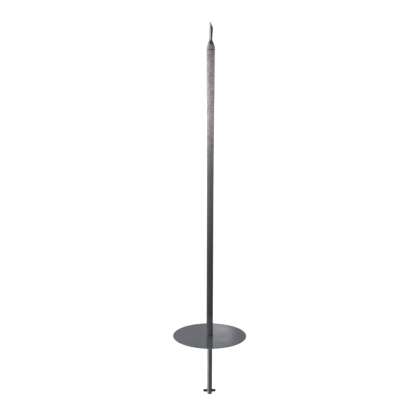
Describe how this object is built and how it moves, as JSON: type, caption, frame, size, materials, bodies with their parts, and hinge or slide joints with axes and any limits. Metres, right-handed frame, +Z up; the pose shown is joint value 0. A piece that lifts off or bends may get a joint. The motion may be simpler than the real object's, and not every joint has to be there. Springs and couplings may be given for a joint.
{
  "type": "vertical rotisserie spit",
  "caption": "Upright steel rotisserie spit: round tube with a flattened spear point, a sliding round meat plate with a clamp, and a drive stem with a cross pin.",
  "frame": {"origin": "centre of the drive stem's lower end, which is the lowest point of the spit", "axes": "+Z up along the spit from the drive stem to the point, +X along the driver pin, +Y towards the clamp screw"},
  "size_m": [0.25, 0.25, 1.25],
  "materials": {
    "tube_steel": "brushed, darkened by heat",
    "tip_steel": "forged and ground",
    "weld_metal": "rough",
    "stem_steel": "turned, satin",
    "pin_steel": "blackened",
    "plate_steel": "satin rolled sheet",
    "boss_steel": "turned",
    "fastener_steel": "bright zinc"
  },
  "bodies": {
    "spit": {"spit_tube": "tube_steel", "spear_tip": "tip_steel", "tip_weld": "weld_metal", "drive_stem": "stem_steel", "drive_pin": "pin_steel", "stop_collar": "stem_steel", "collar_pin": "pin_steel"},
    "plate": {"meat_plate": "plate_steel", "plate_boss": "boss_steel", "boss_weld": "weld_metal", "clamp_nut": "fastener_steel", "nut_weld": "weld_metal"},
    "clamp": {"clamp_screw": "fastener_steel", "clamp_wings": "fastener_steel"}
  },
  "joints": [
    {"name": "plate_slide", "type": "slide", "parent": "spit", "child": "plate", "axis": [0, 0, 1], "range_m": [0, 0.5]},
    {"name": "clamp_turn", "type": "hinge", "parent": "plate", "child": "clamp", "pos_m": [0, 0.025, 0.189], "axis": [0, 1, 0], "range_deg": [-1080, 0]}
  ]
}
